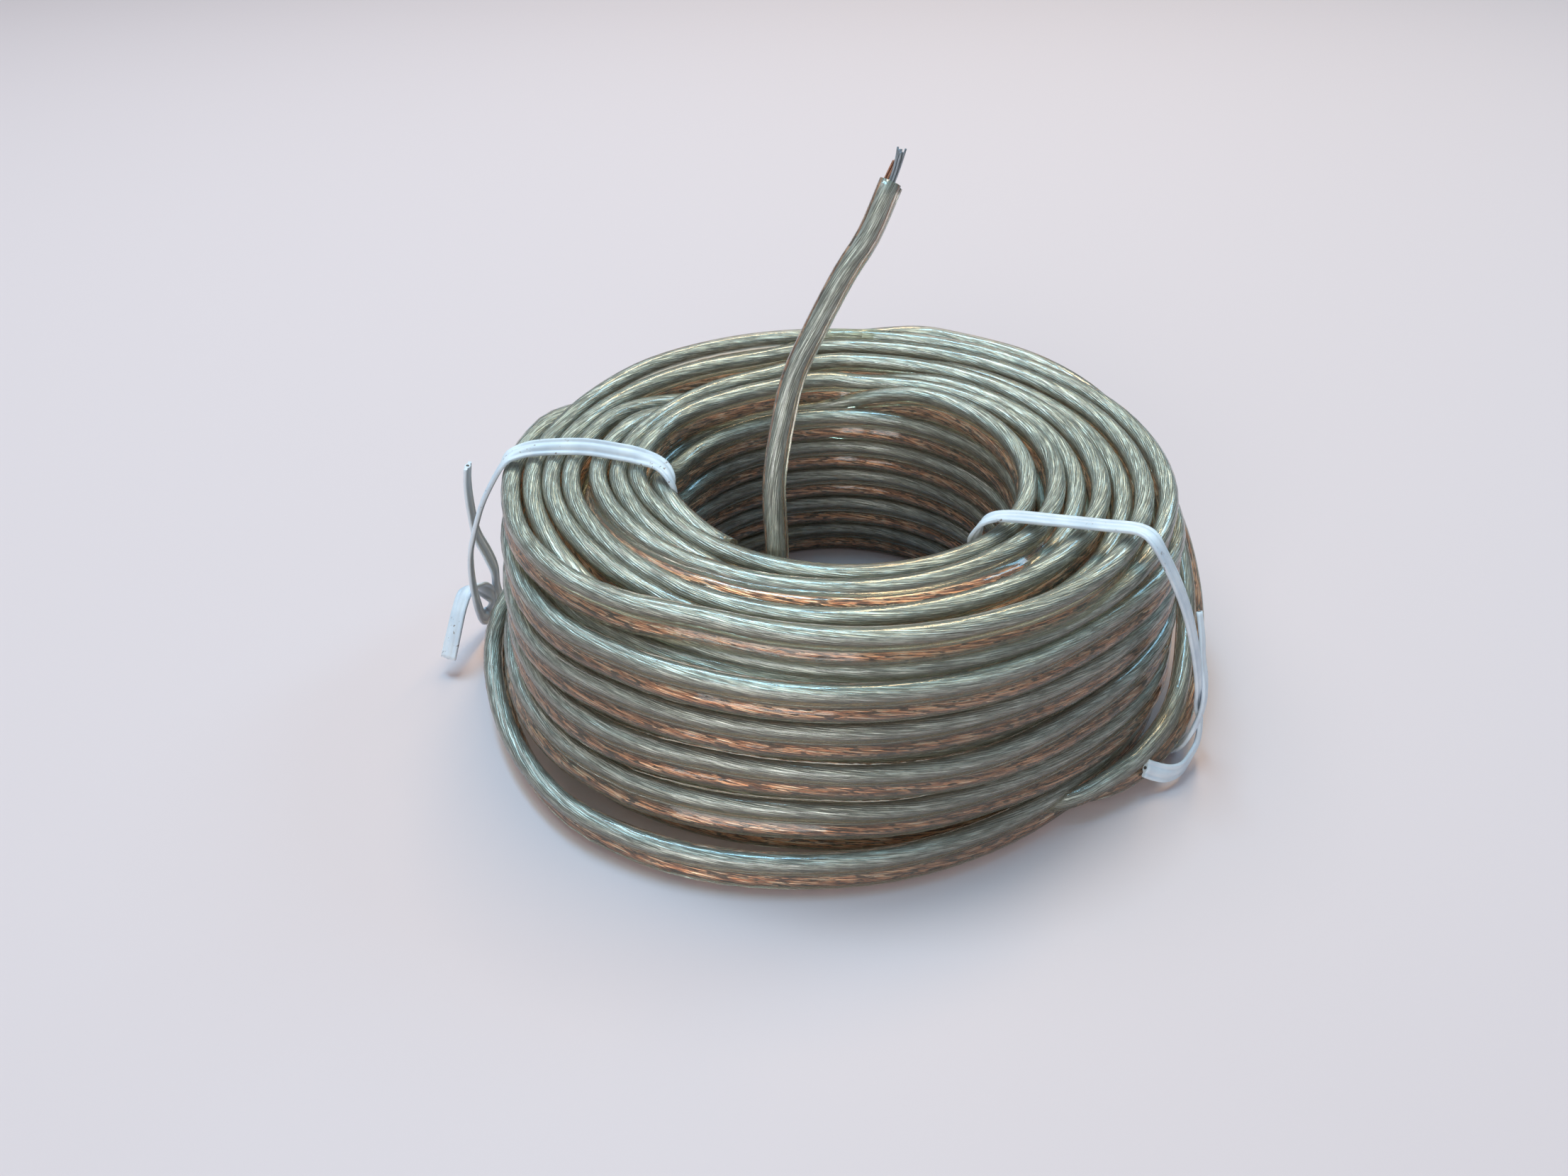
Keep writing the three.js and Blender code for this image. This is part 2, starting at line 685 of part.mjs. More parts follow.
function buildCore() {
  const inner = innerRing + turnThickness / 2 + CORE_CLEARANCE;
  const outer = outerRing - turnThickness / 2 - CORE_CLEARANCE;
  const base = lowLevel + turnHeight / 2 + CORE_CLEARANCE;
  const top = highLevel - turnHeight / 2 - CORE_CLEARANCE;
  const section = [
    [outer, base + CORE_CHAMFER],
    [outer, top - CORE_CHAMFER],
    [outer - CORE_CHAMFER, top],
    [inner + CORE_CHAMFER, top],
    [inner, top - CORE_CHAMFER],
    [inner, base + CORE_CHAMFER],
    [inner + CORE_CHAMFER, base],
    [outer - CORE_CHAMFER, base],
  ];
  const rings = [];
  for (let step = 0; step < STEPS_PER_LOOP; step += 1) {
    const azimuth = startAzimuth - step * stepAngle;
    rings.push(section.map(([radius, height]) => polar(radius, azimuth, height)));
  }
  return loft(rings, section, true);
}

const FLOOR_BLOCK_SIZE = 200;
const floorBlock = halfSpaceBelow(FLOOR_BLOCK_SIZE);
const group = new THREE.Group();
group.name = 'tied_cable_coil';

function addPiece(name, geometry, material) {
  geometry.computeVertexNormals();
  const mesh = new THREE.Mesh(geometry, material);
  mesh.name = name;
  group.add(mesh);
}

addPiece('core_ring', buildCore(), INNER_TURNS);
addPiece('winding', buildWinding(floorBlock), JACKET);
addPiece('free_end', buildFreeEnd(floorBlock), JACKET);
buildStrands(1, TINNED_BARE_LENGTH).forEach((strand, i) => {
  addPiece(`tinned_strand_${i + 1}`, strand, TINNED);
});
buildStrands(-1, COPPER_BARE_LENGTH).forEach((strand, i) => {
  addPiece(`copper_strand_${i + 1}`, strand, COPPER);
});
addPiece('tip_conductor_tinned', buildTipConductor(1), TINNED);
addPiece('tip_conductor_copper', buildTipConductor(-1), COPPER);
for (const [side, tie] of [['left', leftTie], ['right', rightTie]]) {
  const { strip, wire } = buildTie(tie);
  addPiece(`${side}_tie_strip`, strip, TIE_PLASTIC);
  addPiece(`${side}_tie_wire`, wire, TIE_STEEL);
}

// Origin at the middle of the bounding box, on the rest plane.
const bounds = new THREE.Box3().setFromObject(group);
const middle = bounds.getCenter(new THREE.Vector3());
for (const mesh of group.children) {
  mesh.geometry.translate(-middle.x, -middle.y, -bounds.min.z);
}

export default group;
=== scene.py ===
import math

import bpy
import numpy as np
from mathutils import Matrix, Vector


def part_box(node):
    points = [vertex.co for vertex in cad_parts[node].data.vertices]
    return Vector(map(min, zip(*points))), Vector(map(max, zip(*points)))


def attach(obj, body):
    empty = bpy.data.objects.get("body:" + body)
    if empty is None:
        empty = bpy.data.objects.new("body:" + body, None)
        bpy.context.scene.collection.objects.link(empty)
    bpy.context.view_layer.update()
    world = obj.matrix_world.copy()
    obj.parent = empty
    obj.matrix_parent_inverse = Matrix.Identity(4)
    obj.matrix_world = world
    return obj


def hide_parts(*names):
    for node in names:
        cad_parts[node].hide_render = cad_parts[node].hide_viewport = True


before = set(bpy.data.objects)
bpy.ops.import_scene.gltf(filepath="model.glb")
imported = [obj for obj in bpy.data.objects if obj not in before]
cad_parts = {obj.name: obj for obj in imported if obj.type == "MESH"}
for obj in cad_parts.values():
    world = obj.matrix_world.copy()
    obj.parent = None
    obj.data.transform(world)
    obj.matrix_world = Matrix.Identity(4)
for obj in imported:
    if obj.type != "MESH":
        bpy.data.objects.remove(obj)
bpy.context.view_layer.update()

# Lengths are in millimetres about the coil's own axis, angles in degrees, and
# to_frame() turns them into metres in the row frame.
ring_low, ring_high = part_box("core_ring")
AXIS = np.array([(ring_low.x + ring_high.x) / 2, (ring_low.y + ring_high.y) / 2, 0.0])
MM = 0.001

# ---- the cable: a jacket of two round lobes, each over one stranded conductor ----
CABLE_WIDTH = 5.0
CORE_RADIUS = 1.25
CORE_OFFSET = CABLE_WIDTH / 2 - CORE_RADIUS
WEB_ANGLE = 55
LOBE_POINTS = 11
CONDUCTOR_RADIUS = 0.66
CONDUCTOR_SIDES = 12
# The conductors start this far inside the winding's first end.
TIP_CLEAR = 1.4

# ---- the look of the conductors' strands ----
STRAND_PITCH = 60.0
STRANDS_ROUND = 20
FINE_ROUND = 33
FINE_SHARE = 0.6
STRAND_WANDER = 6.5
# Painted shade in the gaps between strands: its least strength, and the most it darkens the
# colour.
LEAST_GAP_SHADE = 0.2
DARKEST_GAP_SHADE = 0.92

# ---- the winding ----
RING_COUNT = 8
LEVEL_COUNT = 6
TOP_LEVEL = LEVEL_COUNT - 1
FLOOR_LEVEL = 2.5
LEVEL_PITCH = 5.0
INNER_RING = 24.3
START_AZIMUTH = -125.5
END_OF_LAST_TURN = 150
STEP = 4
# Lanes are kept as rows this many degrees apart, and smoothed over their neighbours.
LANE_STEP = 0.5
SMOOTH_REACH = 18
SMOOTH_SPREAD = 8.0
# Every turn sways a little, each out of step with the one before.
SWAY = 0.12
SWAY_WAVES = 3
SWAY_SHIFT = 2.3

# Where each ring changes level, and where rings change at the top and bottom,
# as angles travelled from the start.
CLIMB = {0: (35, 75), 1: (128, 178), 2: (72, 118), 3: (128, 178),
         4: (72, 118), 5: (128, 178), 6: (66, 102), 7: (118, 142)}
CROSS = (118, 148)

# Strands of the top level: azimuth, radius, height, inward lean.
TOP_LANES = {
    0: [(-125, 22.7, 26.4, 0), (-144, 22.9, 26.7, 0), (-155, 23.5, 27.1, 0),
        (-168, 24.2, 27.5, 0), (150, 24.4, 27.5, 0), (0, 24.3, 27.5, 0)],
    1: [(110, 25.6, 27.5, 0), (90, 24.6, 27.5, 0), (60, 24.5, 27.5, 0), (20, 24.2, 27.5, 0),
        (-8, 24.2, 27.5, 0), (-43, 24.9, 27.5, 0), (-95, 25.1, 27.5, 0), (-125, 24.95, 27.5, 0),
        (-150, 25.6, 27.5, 0), (-173, 27.3, 27.5, 0), (150, 26.9, 27.5, 0), (130, 25.8, 27.5, 0)],
    2: [(110, 29.3, 27.3, 0), (86, 27.0, 26.8, 0), (60, 27.6, 27.2, 0), (20, 27.9, 27.5, 0),
        (-8, 27.75, 27.5, 0), (-35, 28.6, 27.8, 24), (-60, 29.1, 28.5, 70), (-95, 29.3, 28.7, 80),
        (-121, 30.2, 28.7, 80), (-143, 31.4, 28.5, 66), (-160, 32.2, 28.0, 40),
        (-172, 32.6, 27.6, 16), (178, 32.6, 27.5, 0), (150, 31.6, 27.5, 0)],
    3: [(110, 31.0, 26.8, 0), (86, 29.4, 27.5, 0), (60, 30.0, 27.2, 0), (20, 30.3, 27.0, 0),
        (-8, 30.4, 26.8, 0), (-35, 30.6, 25.8, 0), (-60, 29.6, 24.2, 0), (-95, 28.2, 24.2, 0),
        (-115, 27.1, 25.6, 0), (-125, 27.0, 26.7, 0), (-142, 27.8, 27.4, 0), (-159, 28.6, 27.5, 0),
        (-173, 29.7, 27.5, 0), (150, 29.4, 27.5, 0), (130, 29.6, 27.5, 0)],
    4: [(110, 34.5, 27.5, 0), (86, 33.2, 27.4, 0), (60, 33.4, 27.5, 0), (20, 33.3, 27.5, 0),
        (-8, 33.3, 27.5, 0), (-40, 32.8, 27.5, 0), (-67, 33.0, 27.5, 0), (-95, 33.6, 27.5, 0),
        (-116, 33.7, 27.5, 0), (-134, 33.9, 27.5, 0), (-153, 34.5, 27.5, 0), (-165, 35.3, 27.5, 0),
        (-177, 35.8, 27.5, 0), (150, 35.2, 27.5, 0)],
    5: [(110, 37.0, 27.0, 0), (86, 35.9, 27.0, 0), (60, 36.1, 26.7, 0), (20, 36.2, 26.6, 0),
        (-8, 36.2, 26.4, 0), (-35, 35.8, 25.4, 0), (-60, 35.1, 24.6, 0), (-100, 34.9, 24.6, 0),
        (-115, 34.7, 26.0, 0), (-131, 35.6, 26.8, 0), (-147, 36.6, 27.3, 0), (-166, 37.9, 27.5, 0),
        (-177, 38.4, 27.5, 0), (150, 37.8, 27.5, 0), (130, 37.2, 27.5, 0)],
    6: [(86, 38.4, 27.5, 0), (60, 38.8, 27.5, 0), (20, 39.0, 27.5, 0), (-8, 39.0, 27.5, 4),
        (-31, 38.6, 27.5, 10), (-48, 37.9, 27.5, 10), (-63, 37.2, 27.5, 8), (-95, 36.8, 27.5, 8),
        (-113, 37.0, 27.5, 8), (-125, 38.9, 27.5, 6), (-139, 41.3, 27.5, 4),
        (-155, 43.0, 27.5, 4), (-170, 43.5, 27.5, 3), (-177, 43.8, 27.5, 0), (150, 43.4, 27.4, 0)],
    7: [(110, 42.8, 27.5, 0), (90, 42.5, 27.5, 0), (60, 42.5, 27.5, 0), (20, 42.4, 27.3, 0),
        (-8, 42.0, 27.0, 0), (-25, 40.8, 25.6, 0), (-45, 38.7, 24.2, 0), (-95, 37.6, 23.9, 0),
        (-120, 37.9, 24.2, 0), (-135, 38.6, 25.2, 0), (-150, 39.6, 26.7, 0), (-165, 40.5, 27.4, 0),
        (-177, 41.1, 27.5, 0), (165, 41.0, 27.5, 0), (150, 41.5, 27.5, 0), (135, 42.6, 27.5, 0)],
}

# Strands of the outer wall, level by level: azimuth, radius, height, inward lean.
WALL_LANES = {
    4: [(-177, 43.9, 22.5, 0), (-148, 44.0, 22.5, 0), (-138, 43.7, 22.5, 0), (-129, 42.6, 22.5, 2),
        (-122, 41.8, 22.5, 4), (-110, 41.0, 22.5, 4), (-95, 40.5, 22.5, 2), (-80, 40.2, 22.5, 0),
        (-60, 40.1, 22.5, 0), (-50, 39.9, 22.5, 4), (-41, 40.2, 22.5, 8), (-31, 41.1, 22.5, 8),
        (-23, 42.2, 22.5, 4), (-8, 43.5, 22.5, 0), (20, 43.4, 22.5, 0), (90, 43.0, 22.5, 0)],
    3: [(-177, 44.1, 17.5, 0), (-146, 44.8, 17.5, 0), (-136, 44.2, 17.5, 0), (-129, 43.3, 17.5, 2),
        (-122, 42.7, 17.5, 4), (-110, 41.6, 17.5, 2), (-95, 40.7, 17.5, 0), (-80, 40.5, 17.5, 0),
        (-60, 40.3, 17.5, 0), (-45, 40.8, 17.5, 0), (-34, 41.6, 17.5, 0), (-15, 43.5, 17.5, 0),
        (5, 43.9, 17.5, 0), (25, 43.4, 17.5, 0), (90, 43.1, 17.5, 0)],
    2: [(-177, 44.4, 12.5, 0), (-148, 45.3, 12.5, 3), (-135, 45.4, 12.5, 3), (-128, 44.8, 12.5, 5),
        (-121, 44.3, 12.5, 6), (-110, 42.8, 12.5, 4), (-95, 41.9, 12.5, -3), (-80, 41.9, 12.5, -5),
        (-65, 42.0, 12.5, 0), (-50, 41.7, 12.5, 12), (-40, 42.1, 12.5, 14), (-31, 42.9, 12.5, 10),
        (-15, 44.2, 12.5, 0), (5, 44.2, 12.5, 0), (25, 43.3, 12.5, 0), (90, 43.1, 12.5, 0)],
    1: [(-177, 45.2, 7.5, 0), (-150, 46.5, 7.5, 12), (-134, 46.7, 7.5, 16), (-127, 46.2, 7.5, 14),
        (-120, 45.5, 7.5, 12), (-109, 44.4, 7.5, 14), (-95, 43.2, 7.5, 10), (-80, 43.0, 7.5, 0),
        (-65, 42.3, 7.5, 0), (-50, 42.5, 7.5, 10), (-40, 43.1, 7.5, 14), (-20, 44.2, 7.5, 6),
        (5, 44.3, 7.5, 0), (25, 43.3, 7.5, 0), (90, 43.1, 7.5, 0)],
    0: [(180, 47.4, 6.2, -8), (-172, 48.2, 5.8, -14), (-165, 48.5, 4.8, -17),
        (-158, 48.7, 3.8, -18), (-147, 49.0, 2.7, -18), (-137, 49.4, 2.5, -16),
        (-129, 49.7, 2.5, -12), (-117, 48.9, 2.52, -5),
        (-107, 47.8, 2.5, 0), (-95, 46.3, 2.5, 0), (-80, 45.0, 2.5, 0), (-68, 43.9, 2.5, 0),
        (-51, 42.9, 2.5, 0), (-30, 43.4, 2.5, 0), (-10, 44.0, 2.5, 0), (20, 43.2, 2.5, 0),
        (90, 43.2, 2.5, 0),
        (120, 43.2, 2.5, 0), (140, 43.4, 2.6, 0), (158, 44.0, 3.4, 0), (170, 45.6, 4.6, 0)],
}

# The free end: point, then the direction from the copper core to the tinned core.
FREE_END = [
    ((11.1, 44.5, 27.3), (0, 0, 1)), ((17.3, 42.5, 27.3), (0, 0, 1)),
    ((28, 36.1, 27.1), (0, 0, 1)), ((36.2, 27.6, 26), (-0.1, 0, 1)),
    ((42.3, 17.5, 23.4), (-0.35, 0, 1)), ((45.8, 6.9, 19), (-0.55, 0, 0.85)),
    ((47, -3.4, 14), (-0.55, 0.1, 0.85)), ((45.9, -12.9, 9.4), (-0.5, 0.2, 0.85)),
    ((43.3, -20.9, 5.9), (-0.4, 0.2, 0.9)), ((38.5, -27, 3.7), (-0.2, 0, 1)),
    ((33.3, -31, 2.9), (0, -0.3, 1)), ((27.8, -32.9, 2.2), (0, -0.9, 0.5)),
    ((21.4, -32.4, 1.6), (0, -1, 0)), ((14, -29.9, 1.5), (0, -1, 0)),
    ((7.2, -26.2, 1.55), (0.2, -1, 0.1)), ((1.4, -22.2, 2.1), (-0.1, -0.85, 0.4)),
    ((-3.1, -19.9, 3.6), (0, -0.9, 0.45)), ((-6, -18.9, 7.4), (0.08, -0.99, 0.15)),
    ((-7.3, -18.8, 13), (0.02, -1, 0.01)), ((-7.7, -18.8, 20), (-0.04, -1, 0.01)),
    ((-7.6, -18.7, 27.2), (-0.05, -1, 0.08)), ((-7.97, -17.6, 34.7), (-0.06, -0.98, 0.2)),
    ((-7.7, -16.4, 38.7), (-0.09, -0.94, 0.33)), ((-7, -14.8, 42.8), (-0.09, -0.92, 0.39)),
    ((-5.86, -12.8, 47.6), (-0.08, -0.9, 0.43)), ((-3.35, -10.4, 52.7), (-0.08, -0.89, 0.44)),
    ((-0.3, -8.1, 58.1), (-0.08, -0.89, 0.44)), ((2.28, -6.4, 61.9), (-0.09, -0.9, 0.43)),
    ((4.6, -4.3, 67), (-0.1, -0.9, 0.42)),
]
FREE_STEP = 1.6

# ---- the ties ----
# The strip's centre from one tip down and beneath the turns, up the eye, over the top and
# down again to the other tip: radius, azimuth, height, then its face: outward, round, up.
TIE_LINES = {
    "left": [
        (51.2, 178, 26.8, 1, 0, 0), (51.7, 178, 23.9, 1, 0, 0), (51.9, 178, 20.0, 1, 0, 0),
        (52.0, 177.4, 15.4, 1, 0, 0.1), (51.3, 176.5, 11.5, 1, 0, 0.2),
        (51.0, 175.6, 8.1, 1, 0, 0), (51.2, 175.6, 4.6, 1, 0, -0.1),
        (50.2, 176.4, 1.7, 0.6, 0, -1), (48.2, 177.5, 0.62, 0, 0, -1),
        (36.0, 181.5, 0.62, 0, 0, -1), (24.3, 193, 0.62, 0, 0, -1),
        (22.6, 194.5, 1.5, -1, 0, -0.6), (22.4, 195, 3.8, -1, 0, 0), (22.4, 196, 15.0, -1, 0, 0),
        (22.5, 197, 26.6, -1, 0, 0), (22.8, 197, 29.6, -1, 0, 0.7),
        (23.9, 190.3, 30.9, -0.2, 0.3, 1), (26.9, 184.5, 31.0, 0, 0.6, 0.8),
        (29.8, 182, 31.0, 0, 0.65, 0.75), (33.7, 180, 31.0, 0, 0.65, 0.75),
        (37.5, 180, 31.0, 0, 0.6, 0.8), (41.2, 181, 31.0, 0, 0.5, 0.85),
        (43.5, 183.2, 30.9, 0.3, 0.35, 0.9), (44.7, 184.4, 30.0, 1, 0, 1),
        (46.3, 185, 27.7, 1, 0, 0.6), (48.0, 185.5, 24.7, 1, 0, 0.5),
        (49.4, 186, 21.2, 1, 0, 0.4), (50.6, 186, 17.5, 1, 0, 0.3),
        (51.2, 185.5, 13.9, 1, 0, 0.1), (51.6, 184.5, 10.1, 1, 0, 0), (51.9, 183, 6.2, 1, 0, 0),
        (52.1, 181, 3.0, 1, 0, -0.2), (51.7, 178.6, 2.4, 1, 0, -0.5),
        (51.4, 177.6, 4.4, 1, 0, 0.2), (51.9, 179.2, 6.9, 0.6, 0, 0.8),
        (52.3, 181.2, 8.7, 0.3, 0.5, 1), (52.9, 184, 9.6, 0.5, 1, 0.9),
        (53.6, 186.4, 8.3, 0.6, 1, 0.6), (54.4, 188.6, 6.0, 0.6, 1, 0.4),
        (55.6, 190.6, 2.6, 0.6, 1, 0.3)],
    "right": [
        (47.6, -21, 18.9, 1, 0, 0.2), (48.6, -22.6, 16.4, 1, 0, 0.2),
        (49.4, -23.8, 13.6, 1, 0, 0.2), (50.4, -24.8, 10.8, 1, 0, 0.1),
        (50.9, -26.1, 8.0, 1, 0, 0), (50.5, -27.3, 4.6, 1, 0, -0.1),
        (49.4, -27.3, 1.6, 0.5, 0, -1), (47.6, -27, 0.7, 0.1, 0, -1),
        (36.0, -29.6, 0.62, 0, 0, -1), (24.3, -36, 0.62, 0, 0, -1), (22.6, -37, 1.5, -1, 0, -0.6),
        (22.4, -38, 3.8, -1, 0, 0), (22.4, -41, 15.0, -1, 0, 0), (22.5, -44, 26.6, -1, 0, 0),
        (22.9, -44.5, 29.4, -1, 0, 0.6), (23.5, -41.8, 30.8, -0.4, 0, 1),
        (25.2, -37, 31.0, 0, 0, 1), (30.8, -31, 30.9, 0, 0, 1), (35.4, -28, 30.9, 0, 0, 1),
        (38.6, -26.6, 31.0, 0, 0, 1), (40.4, -27, 30.9, 0.2, 0, 1), (41.8, -28, 30.2, 0.7, 0, 1),
        (43.4, -28, 28.0, 1, 0, 0.8), (45.1, -27.5, 25.0, 1, 0, 0.5), (46.7, -27, 21.5, 1, 0, 0.4),
        (47.9, -26.6, 18.1, 1, 0, 0.3), (49.0, -26.4, 14.6, 1, 0, 0.2),
        (49.8, -26.2, 11.3, 1, 0, 0.1), (50.1, -25.2, 8.2, 1, 0, 0), (50.9, -25.2, 5.4, 1, 0, 0),
        (51.4, -27.2, 3.4, 1, 0, 0), (51.2, -30, 2.2, 1, 0, 0), (50.9, -32.6, 2.0, 1, 0, 0),
        (50.0, -34.6, 2.2, 1, 0, 0.1), (48.7, -36.1, 2.8, 1, 0, 0.2),
        (47.9, -37.4, 3.7, 1, 0, 0.3)],
}
TIE_STEP = 0.5
TIE_WIRE_RADIUS = 0.22
# How far the wire stands out of each end of the strip.
TIE_WIRE_PROUD = 0.06
WIRE_SIDES = 8

# ---- the bared strands: a middle one and six about it ----
STRAND_RADIUS = 0.12
STRANDS_ABOUT = 6
STRAND_POINTS = 14
STRAND_SPREAD = 0.3
STRAND_TURN = 0.3
# Shares of a strand's length: what starts inside the jacket, how far the bend carries
# its tip, and how much shorter the shortest is than the longest.
STRAND_ROOT = 0.4
STRAND_BEND = 0.35
STRAND_TRIM = 0.16
# How much the tinned strands open, and the copper ones close, towards their tips, and the
# share of their distance from the cable's middle that both keep.
STRAND_OPENING = 0.55
BARE_OFFSET = 0.8
# Length past the jacket, bend and shift of each conductor's bared end.
BARE_ENDS = {"tinned": (3.3, (-0.2, 0, 0.5), (0.1, 0, 0)),
             "copper": (2.5, (0.25, 0, 0.3), (-0.75, 0, 0.1))}

# ---- the camera, about the coil's axis ----
FOCAL_PX = 1655.17
PHOTO_WIDTH_PX = 2212
SENSOR_MM = 36.0
CAMERA_PLACE = (0.0, -135.90, 105.92)
CAMERA_RIGHT = (0.99859057, 0.0524026, -0.00841623)
CAMERA_UP = (-0.02359477, 0.58036189, 0.81401681)
CAMERA_FORWARD = (-0.04754106, 0.81267093, -0.58078034)

# ---- the floor and the light, in metres in the row frame ----
FLOOR_REACH = 3
WORLD_COLOUR = (0.72, 0.86, 1.0, 1)
WORLD_STRENGTH = 0.28
# Name, place, target, size, power, colour.
LIGHTS = [
    ("soft_key", (-0.5, 0.42, 1.0), (0, 0, 0), (0.6, 0.6), 3.0, (1.0, 0.93, 0.90)),
    ("front_fill", (-0.35, -1.2, 0.45), (0, 0, 0.02), (0.9, 0.5), 6.4, (0.98, 0.97, 0.95)),
    ("cool_strip", (-0.16, 0.24, 0.92), (0, 0, 0), (0.14, 0.5), 5.2, (0.36, 0.73, 1.0)),
    ("cool_side", (0.62, 0.55, 0.62), (0, 0, 0), (0.2, 0.3), 1.5, (0.36, 0.73, 1.0)),
    ("warm_strip", (0.14, 0.50, 0.85), (0, 0, 0), (0.14, 0.5), 3.6, (1.0, 0.74, 0.42)),
]


def to_frame(points):
    """Millimetres about the coil's axis, as metres in the row frame."""
    return np.asarray(points, float) * MM + AXIS


# ---- camera ----
camera_data = bpy.data.cameras.new("camera")
camera_data.sensor_width = SENSOR_MM
camera_data.lens = FOCAL_PX * SENSOR_MM / PHOTO_WIDTH_PX
camera_data.clip_start = 0.005
camera = bpy.data.objects.new("camera", camera_data)
bpy.context.scene.collection.objects.link(camera)
turn = Matrix((CAMERA_RIGHT, CAMERA_UP, tuple(-v for v in CAMERA_FORWARD))).transposed()
camera.matrix_world = Matrix.Translation(Vector(to_frame(CAMERA_PLACE))) @ turn.to_4x4()
bpy.context.scene.camera = camera


# ---- the cable's line ----
def lane_grid(rows):
    """Radius, height and lean at every LANE_STEP of azimuth, smoothed."""
    rows = np.array(rows, float)
    azimuths = np.arange(-180, 180, LANE_STEP)
    grid = np.stack(
        [np.interp(azimuths, rows[:, 0], rows[:, i], period=360) for i in (1, 2, 3)], axis=1)
    reach = np.arange(-SMOOTH_REACH, SMOOTH_REACH + 1)
    weights = np.exp(-(reach / SMOOTH_SPREAD) ** 2)
    weights /= weights.sum()
    return sum(w * np.roll(grid, k, axis=0) for k, w in zip(reach, weights))


top_grids = {ring: lane_grid(rows) for ring, rows in TOP_LANES.items()}
wall_grids = {level: lane_grid(rows) for level, rows in WALL_LANES.items()}


def seat(ring, level):
    """Radius, height and lean of one strand of the winding, all the way round."""
    if level == TOP_LEVEL:
        return top_grids[ring]
    if ring == RING_COUNT - 1:
        return wall_grids[level]
    # The lowest wall strand swings wide, so the turns inside it follow the one above.
    wall = wall_grids[max(level, 1)]
    inner = np.zeros_like(wall)
    inner[:, 0] = INNER_RING + (wall[:, 0] - INNER_RING) * ring / (RING_COUNT - 1)
    inner[:, 1] = FLOOR_LEVEL + LEVEL_PITCH * level
    return inner


def cells():
    """Ring and level of each turn in the order of winding: down one ring, up the next."""
    for ring in range(RING_COUNT):
        levels = range(LEVEL_COUNT)
        for level in reversed(levels) if ring % 2 == 0 else levels:
            yield ring, level


def smooth_share(value, start, stop):
    """From 0 at start to 1 at stop, level at both."""
    share = min(1.0, max(0.0, (value - start) / (stop - start)))
    return share * share * (3 - 2 * share)


def winding_line():
    """Points of the centreline, and the direction from copper to tinned core at each."""
    places = list(cells())
    points, widths = [], []
    for loop, here in enumerate(places):
        last = loop == len(places) - 1
        after = here if last else places[loop + 1]
        start, stop = CROSS if here[0] != after[0] else CLIMB[here[0]]
        seat_here, seat_after = seat(*here), seat(*after)
        for travelled in np.arange(0, END_OF_LAST_TURN if last else 360, STEP):
            azimuth = START_AZIMUTH - travelled
            row = int(round((azimuth + 180) / LANE_STEP)) % int(360 / LANE_STEP)
            share = smooth_share(travelled, start, stop)
            radius, height, lean = seat_here[row] * (1 - share) + seat_after[row] * share
            sway = SWAY * math.sin(loop * SWAY_SHIFT + math.radians(azimuth) * SWAY_WAVES)
            a, t = math.radians(azimuth), math.radians(lean)
            out = np.array([math.cos(a), math.sin(a), 0])
            points.append(out * (radius + sway) + np.array([0, 0, height]))
            widths.append(np.array([0, 0, math.cos(t)]) - out * math.sin(t))
    return points, widths


def spline(points, step):
    """A Catmull-Rom line through points of any dimension, resampled about step apart."""
    points = np.array(points, float)
    padded = np.vstack([2 * points[0] - points[1], points, 2 * points[-1] - points[-2]])
    made = []
    for i in range(len(points) - 1):
        a, b, c, d = padded[i:i + 4]
        count = max(1, int(round(np.linalg.norm((c - b)[:3]) / step)))
        for t in np.arange(count) / count:
            made.append(0.5 * (2 * b + (c - a) * t + (2 * a - 5 * b + 4 * c - d) * t * t
                               + (3 * b - a - 3 * c + d) * t ** 3))
    made.append(points[-1])
    return np.array(made)


coil_points, coil_widths = winding_line()
controls = [np.concatenate([p, w]) for p, w in zip(coil_points[-2:], coil_widths[-2:])]
controls += [np.concatenate([p, np.array(w, float) / np.linalg.norm(w)]) for p, w in FREE_END]
free = spline(controls, FREE_STEP)
line = np.vstack([np.array(coil_points[:-2]), free[:, :3]])
widths = np.vstack([np.array(coil_widths[:-2]), free[:, 3:]])


def frames(points, hints):
    """Tangent, width and normal at each point of a line."""
    tangent = np.gradient(points, axis=0)
    tangent /= np.linalg.norm(tangent, axis=1)[:, None]
    width = hints - tangent * (hints * tangent).sum(1)[:, None]
    width /= np.linalg.norm(width, axis=1)[:, None]
    return tangent, width, np.cross(tangent, width)


def lengths(points):
    """Distance along the line to each of its points."""
    return np.concatenate([[0], np.cumsum(np.linalg.norm(np.diff(points, axis=0), axis=1))])


